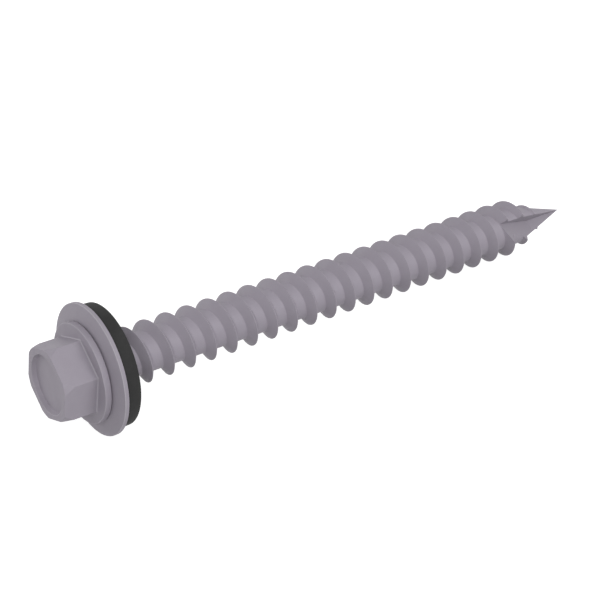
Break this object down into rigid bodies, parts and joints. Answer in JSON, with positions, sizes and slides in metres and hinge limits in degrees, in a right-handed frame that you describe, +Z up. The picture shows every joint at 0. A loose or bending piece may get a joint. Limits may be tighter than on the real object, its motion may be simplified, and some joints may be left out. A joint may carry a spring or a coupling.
{
  "type": "hex washer head screw",
  "caption": "Hex washer head timber screw with a slash point, a coarse right-hand thread and a bonded steel and rubber sealing washer that turns under the flange.",
  "frame": {"origin": "on the floor, under the middle of the lying screw's box", "axes": "+X from the head towards the tip, level with the floor, +Z up; the screw's own axis dips by 4 degrees towards the tip"},
  "size_m": [0.068, 0.014, 0.0139],
  "materials": {
    "coated_steel": "matte grey zinc-based coating",
    "washer_steel": "matte grey zinc-based coating",
    "seal_rubber": "matte black moulded rubber"
  },
  "bodies": {
    "screw": {"screw": "coated_steel"},
    "sealing_washer": {"steel_washer": "washer_steel", "rubber_seal": "seal_rubber"}
  },
  "joints": [
    {"name": "washer_spin", "type": "hinge", "parent": "screw", "child": "sealing_washer", "pos_m": [-0.02911, 0, 0.00699], "axis": [0.9975, 0, -0.0706], "continuous": true}
  ]
}
